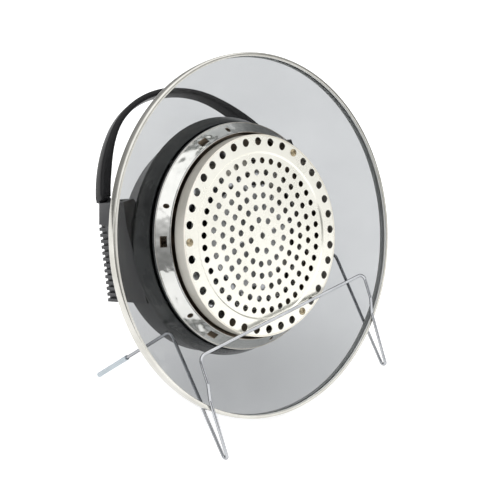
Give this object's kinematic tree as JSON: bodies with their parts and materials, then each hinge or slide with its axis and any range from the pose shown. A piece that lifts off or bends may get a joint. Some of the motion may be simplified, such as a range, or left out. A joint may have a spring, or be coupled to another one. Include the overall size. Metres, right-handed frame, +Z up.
{
  "type": "halogen oven",
  "caption": "Glass dome lid with steel rim, pierced heater head, dark casing and hinged D handle, leaning back in a bent chrome wire stand.",
  "frame": {"origin": "middle of the object's footprint on the table, at table height", "axes": "+Z up; -Y the side that the open underside of the lid faces; +X to the right seen from that side; millimetres in the source, metres here"},
  "size_m": [0.337, 0.227, 0.3209],
  "materials": {
    "chrome_wire": "polished",
    "foot_sleeve": "satin",
    "polished_steel": "polished",
    "clear_glass": "smooth",
    "quartz": "smooth",
    "black_seal": "matte",
    "grey_seal": "matte",
    "brass_screw": "satin",
    "steel": "satin",
    "core_iron": "dull",
    "winding": "enamel",
    "bronze": "satin",
    "filament": "satin",
    "ceramic": "matte",
    "lead_sleeve": "matte",
    "casing_plastic": "fine texture",
    "gloss_black": "glossy",
    "black_plastic": "matte",
    "panel_steel": "brushed",
    "unit_plastic": "matte",
    "red_lens": "glossy",
    "fan_aluminium": "satin",
    "fan_plastic": "matte"
  },
  "bodies": {
    "stand": {"front_bar": "chrome_wire", "left_front_leg": "chrome_wire", "right_front_leg": "chrome_wire", "left_back_strut": "chrome_wire", "right_back_strut": "chrome_wire", "left_rear_leg": "chrome_wire", "right_rear_leg": "chrome_wire", "left_foot_sleeve": "foot_sleeve", "right_foot_sleeve": "foot_sleeve"},
    "lid": {"rim_band": "polished_steel", "rim_seal": "grey_seal", "glass_lid": "clear_glass", "neck_gasket": "black_seal", "heater_can": "polished_steel", "guard_plate": "polished_steel", "guard_standoffs": "steel", "guard_screws": "brass_screw", "reflector": "polished_steel", "halogen_lamp": "quartz", "lamp_filament": "filament", "lamp_end_caps": "ceramic", "lamp_clips": "steel", "lamp_leads": "lead_sleeve", "heat_shield": "steel", "thermal_cutout": "steel", "collar": "polished_steel", "clamp_screws": "steel", "base_plate": "casing_plastic", "motor_posts": "steel", "motor_plate": "steel", "motor_spacers": "steel", "motor_stator": "core_iron", "motor_coil": "winding", "motor_bracket": "steel", "shaft_bushes": "bronze", "motor_screws": "steel", "housing": "casing_plastic", "housing_screws": "steel", "fascia": "panel_steel", "timer_unit": "unit_plastic", "thermostat_unit": "unit_plastic", "indicator_lenses": "red_lens", "terminal_block": "lead_sleeve", "safety_switch": "black_plastic", "cord_gland": "black_plastic", "gland_nut": "black_plastic", "hinge_pins": "steel"},
    "handle": {"handle": "gloss_black"},
    "switch_plunger": {"switch_plunger": "red_lens"},
    "timer_knob": {"timer_spindle": "steel", "timer_knob": "gloss_black"},
    "thermostat_knob": {"thermostat_spindle": "steel", "thermostat_knob": "gloss_black"},
    "fan": {"motor_shaft": "steel", "rotor": "core_iron", "circulation_fan": "fan_aluminium", "fan_nut": "steel", "cooling_fan": "fan_plastic"}
  },
  "joints": [
    {"name": "lid_lift", "type": "slide", "parent": "stand", "child": "lid", "axis": [0, 0.4848, 0.8746], "range_m": [0, 0.12]},
    {"name": "handle_hinge", "type": "hinge", "parent": "lid", "child": "handle", "pos_m": [0, 0.02412, 0.15741], "axis": [-1, 0, 0], "range_deg": [-18.8, 71.2]},
    {"name": "switch_press", "type": "slide", "parent": "lid", "child": "switch_plunger", "axis": [0, -0.9373, 0.3486], "range_m": [0, 0.0012], "stiffness_N_per_m": 120, "springref_m": -0.0005},
    {"name": "timer_turn", "type": "hinge", "parent": "lid", "child": "timer_knob", "pos_m": [-0.045, 0.01147, 0.07463], "axis": [0, -0.9373, 0.3486], "range_deg": [0, 300]},
    {"name": "thermostat_turn", "type": "hinge", "parent": "lid", "child": "thermostat_knob", "pos_m": [0.045, 0.01147, 0.07463], "axis": [0, -0.9373, 0.3486], "range_deg": [0, 270]},
    {"name": "fan_spin", "type": "hinge", "parent": "lid", "child": "fan", "pos_m": [0, -0.0016, 0.14564], "axis": [0, 0.9373, -0.3486], "continuous": true}
  ]
}
